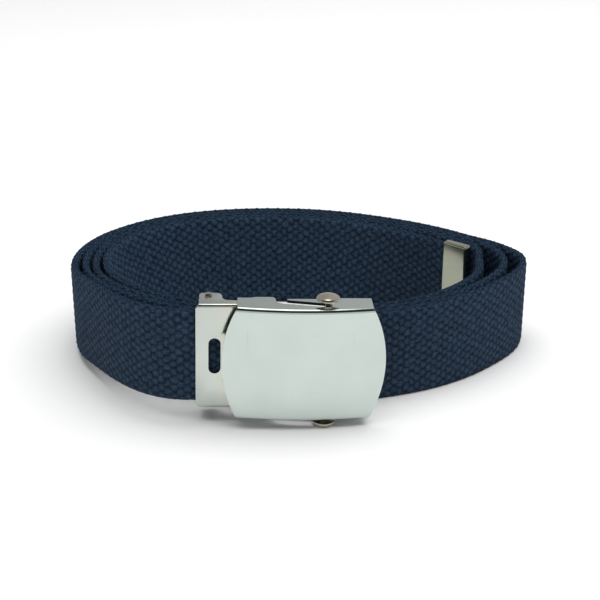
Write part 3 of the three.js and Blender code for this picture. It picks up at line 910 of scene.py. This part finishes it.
class WEBBELT_OT_cap(bpy.types.Operator):
    """Form the metal cap on the strap's free end"""
    bl_idname = "webbelt.cap"
    bl_label = "End Cap"

    def execute(self, context):
        s = context.scene.webbelt_cap
        course = strap_course()
        mouth = course[-4]
        heading = (course[-1] - course[-4]).xy.normalized()
        deselect()
        bpy.ops.mesh.primitive_cube_add(size=1, location=(TIP_LENGTH / 2, 0, TIP_HEIGHT / 2))
        cap = new_piece("end_cap")
        bpy.ops.transform.resize(
            value=(TIP_LENGTH, TIP_THICK, TIP_HEIGHT),
            center_override=(TIP_LENGTH / 2, 0, TIP_HEIGHT / 2),
        )
        bpy.ops.object.transform_apply(location=True, rotation=True, scale=True)
        edit_all(cap)
        mesh = bmesh.from_edit_mesh(cap.data)
        for edge in mesh.edges:
            edge.select = not all(abs(v.co.x) < 1e-3 for v in edge.verts)
        mesh.select_flush_mode()
        bmesh.update_edit_mesh(cap.data)
        bpy.ops.mesh.bevel(offset=s.rounding / MM, segments=6, affect='EDGES')
        mesh = bmesh.from_edit_mesh(cap.data)
        for face in mesh.faces:
            face.select = all(abs(v.co.x) < 1e-3 for v in face.verts)
        mesh.select_flush_mode()
        bmesh.update_edit_mesh(cap.data)
        bpy.ops.mesh.inset(thickness=TIP_WALL, depth=0)
        bpy.ops.mesh.extrude_region_move(
            TRANSFORM_OT_translate={"value": (TIP_LENGTH - TIP_WALL, 0, 0)},
        )
        bpy.ops.object.mode_set(mode='OBJECT')
        recalculate(cap)
        soften(cap, 0)
        place = (
            Matrix.Translation((mouth.x * MM, mouth.y * MM, 0))
            @ Matrix.Rotation(math.atan2(heading.y, heading.x), 4, 'Z')
            @ Matrix.Scale(MM, 4)
        )
        finish(cap, "belt_tip", context.scene["cap_metal"], place)
        return {'FINISHED'}


class WEBBELT_OT_finishes(bpy.types.Operator):
    """Mix the metals of the buckle and the cap"""
    bl_idname = "webbelt.finishes"
    bl_label = "Metals"

    def execute(self, context):
        s = context.scene.webbelt_buckle
        scene = context.scene
        scene["face_metal"] = plated_metal("face_nickel", s.color, s.roughness, 0.6)
        # The frame's metal gets a painted reflection: a cream colour towards its right, near the
        # gap under the face
        scene["frame_metal"] = plated_metal(
            "frame_nickel", s.frame_color, s.roughness, 0.8, s.frame_reflection_tint, -0.027, -0.019,
        )
        scene["roller_metal"] = plated_metal("roller_nickel", s.warm_color, 0.17, 0.8)
        cap_color = scene.webbelt_cap.color
        scene["cap_metal"] = plated_metal("cap_nickel", cap_color, 0.12, 0.8)
        scene["jaw_metal"] = steel("jaw_steel", s.steel_color, 0.3)
        scene["pin_metal"] = plated_metal("pin_nickel", s.steel_color, 0.1, 1.0)
        return {'FINISHED'}


class WEBBELT_OT_stage(bpy.types.Operator):
    """Lay the floor and set the studio light and the camera"""
    bl_idname = "webbelt.stage"
    bl_label = "Stage"

    def execute(self, context):
        s = context.scene.webbelt_stage
        deselect()
        bpy.ops.mesh.primitive_plane_add(size=FLOOR_SIZE)
        floor = new_piece("floor")
        n = Nodes("paper")
        n.set(Base_Color=rgb(s.floor_color), Roughness=0.9)
        floor.data.materials.append(n.material)

        bpy.ops.object.light_add(type='AREA', location=LAMP_PLACE)
        lamp = context.object
        lamp.data.shape = 'RECTANGLE'
        lamp.data.size, lamp.data.size_y = LAMP_SIZE
        lamp.visible_glossy = False
        lamp.data.energy = s.light
        studio_world(context.scene)

        bpy.ops.object.camera_add(
            location=s.camera_place, rotation=(math.radians(90) - s.camera_tilt, 0, 0),
        )
        camera = context.object
        camera.data.lens = s.lens
        camera.data.sensor_width = 36
        camera.data.clip_start = 0.01
        context.scene.camera = camera
        context.scene.view_settings.view_transform = 'Standard'
        return {'FINISHED'}


def studio_world(scene):
    """A soft studio: a bright strip overhead, grey behind, pale in front with a dark band."""
    world = bpy.data.worlds.new("studio")
    scene.world = world
    world.use_nodes = True
    tree = world.node_tree
    shade = tree.nodes["Background"]
    shade.inputs["Color"].default_value = (1, 1, 1, 1)
    coords = tree.nodes.new('ShaderNodeTexCoord')
    parts = tree.nodes.new('ShaderNodeSeparateXYZ')
    tree.links.new(coords.outputs["Generated"], parts.inputs[0])

    def step(source, low, high, to_low, to_high):
        node = tree.nodes.new('ShaderNodeMapRange')
        node.interpolation_type = 'SMOOTHSTEP'
        tree.links.new(source, node.inputs["Value"])
        node.inputs["From Min"].default_value = low
        node.inputs["From Max"].default_value = high
        node.inputs["To Min"].default_value = to_low
        node.inputs["To Max"].default_value = to_high
        return node.outputs[0]

    def join(operation, a, b):
        node = tree.nodes.new('ShaderNodeMath')
        node.operation = operation
        tree.links.new(a, node.inputs[0])
        tree.links.new(b, node.inputs[1])
        return node.outputs[0]

    above = step(parts.outputs[2], 0.95, 0.985, 0.0, 2.2)
    behind = step(parts.outputs[1], -0.25, 0.15, 0.0, 0.47)
    rightward = step(parts.outputs[0], -0.05, 0.12, 0.96, 1.22)
    around = join('MULTIPLY', behind, rightward)
    low = step(parts.outputs[2], 0.35, 0.55, 0.75, 0.03)
    front = join('MULTIPLY', low, step(parts.outputs[1], -0.25, 0.15, 1.0, 0.0))
    ring = join('ADD', around, front)
    tree.links.new(join('ADD', above, ring), shade.inputs["Strength"])


class WEBBELT_PT_panel(bpy.types.Panel):
    bl_label = "Web Belt"
    bl_space_type = 'VIEW_3D'
    bl_region_type = 'UI'
    bl_category = "Web Belt"

    def draw(self, context):
        layout = self.layout
        scene = context.scene
        groups = (
            (scene.webbelt_stage, ("webbelt.stage",)),
            (scene.webbelt_strap, ("webbelt.strap",)),
            (scene.webbelt_buckle, (
                "webbelt.finishes", "webbelt.face", "webbelt.clamp", "webbelt.roller",
            )),
            (scene.webbelt_cap, ("webbelt.cap",)),
        )
        for group, operators in groups:
            box = layout.box()
            for prop in group.bl_rna.properties:
                if prop.identifier not in ("rna_type", "name"):
                    box.prop(group, prop.identifier)
            for name in operators:
                box.operator(name)


GROUPS = {
    "webbelt_strap": StrapSettings,
    "webbelt_buckle": BuckleSettings,
    "webbelt_cap": CapSettings,
    "webbelt_stage": StageSettings,
}
CLASSES = (
    WEBBELT_OT_stage, WEBBELT_OT_finishes, WEBBELT_OT_cap, WEBBELT_OT_strap, WEBBELT_OT_face,
    WEBBELT_OT_clamp, WEBBELT_OT_roller, WEBBELT_PT_panel,
)


def register():
    for name, group in GROUPS.items():
        bpy.utils.register_class(group)
        setattr(bpy.types.Scene, name, PointerProperty(type=group))
    for cls in CLASSES:
        bpy.utils.register_class(cls)


def unregister():
    for cls in reversed(CLASSES):
        bpy.utils.unregister_class(cls)
    for name, group in GROUPS.items():
        delattr(bpy.types.Scene, name)
        bpy.utils.unregister_class(group)


def main():
    register()
    bpy.ops.webbelt.stage()
    bpy.ops.webbelt.finishes()
    bpy.ops.webbelt.cap()
    bpy.ops.webbelt.strap()
    bpy.ops.webbelt.face()
    bpy.ops.webbelt.clamp()
    bpy.ops.webbelt.roller()


if __name__ == "__main__":
    main()
